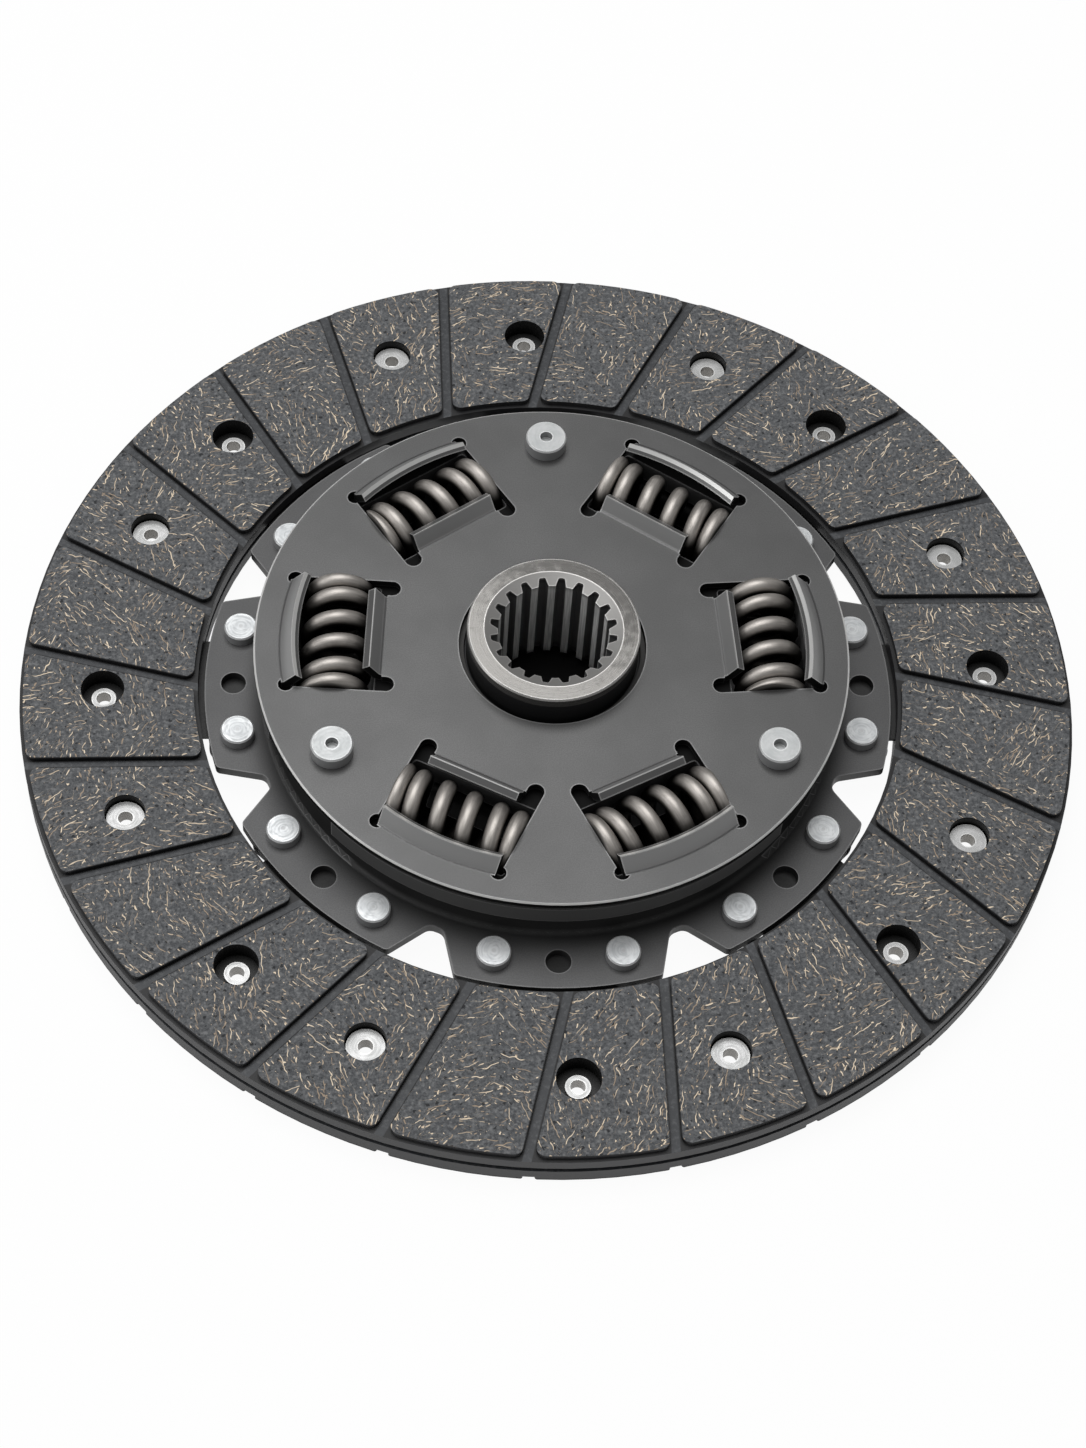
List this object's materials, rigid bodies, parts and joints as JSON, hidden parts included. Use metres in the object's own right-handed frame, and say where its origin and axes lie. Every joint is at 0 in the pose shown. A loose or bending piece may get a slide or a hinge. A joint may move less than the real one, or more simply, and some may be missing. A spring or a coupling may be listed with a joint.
{
  "type": "clutch disc",
  "caption": "Dry clutch disc with grooved friction linings riveted to cushion segments, a dished carrier plate, coil damper springs and a splined hub that turns a little against them.",
  "frame": {"origin": "on the shaft's axis, in the plane of the lower lining's working face", "axes": "+Z along the shaft's axis, towards the hub's longer nose; one stop pin lies on +Y and a lobe of the carrier plate on +X"},
  "size_m": [0.225, 0.225, 0.0281],
  "materials": {
    "lining": "rough moulded friction material with fibres",
    "lining_rivet": "satin",
    "segment_steel": "blackened",
    "zinc": "bright zinc",
    "carrier_steel": "satin, darkened",
    "plate_steel": "satin",
    "hub_steel": "machined, dark on its sides",
    "spring_steel": "polished",
    "friction_ring": "matt"
  },
  "bodies": {
    "disc": {"upper_lining": "lining", "lower_lining": "lining", "upper_lining_rivets": "lining_rivet", "lower_lining_rivets": "lining_rivet", "cushion_segment_1": "segment_steel", "cushion_segment_2": "segment_steel", "cushion_segment_3": "segment_steel", "cushion_segment_4": "segment_steel", "cushion_segment_5": "segment_steel", "cushion_segment_6": "segment_steel", "cushion_segment_7": "segment_steel", "cushion_segment_8": "segment_steel", "segment_rivets": "zinc", "carrier_plate": "carrier_steel", "retainer_plate": "plate_steel", "stop_pin_1": "zinc", "stop_pin_2": "zinc", "stop_pin_3": "zinc", "upper_friction_washer": "friction_ring", "centring_bush": "friction_ring", "cone_spring": "spring_steel"},
    "hub": {"hub": "hub_steel"},
    "springs": {"damper_spring_1": "spring_steel", "damper_spring_2": "spring_steel", "damper_spring_3": "spring_steel", "damper_spring_4": "spring_steel", "damper_spring_5": "spring_steel", "damper_spring_6": "spring_steel"}
  },
  "joints": [
    {"name": "hub_twist", "type": "hinge", "parent": "disc", "child": "hub", "pos_m": [0, 0, 0.0166], "axis": [0, 0, 1], "range_deg": [-8, 8], "stiffness_Nm_per_rad": 50},
    {"name": "spring_follow", "type": "hinge", "parent": "disc", "child": "springs", "pos_m": [0, 0, 0.0166], "axis": [0, 0, 1], "range_deg": [-4, 4], "deforming": ["damper_spring_1", "damper_spring_2", "damper_spring_3", "damper_spring_4", "damper_spring_5", "damper_spring_6"]}
  ],
  "couplings": [
    {"joint": "spring_follow", "follows": "hub_twist", "ratio": 0.5}
  ]
}
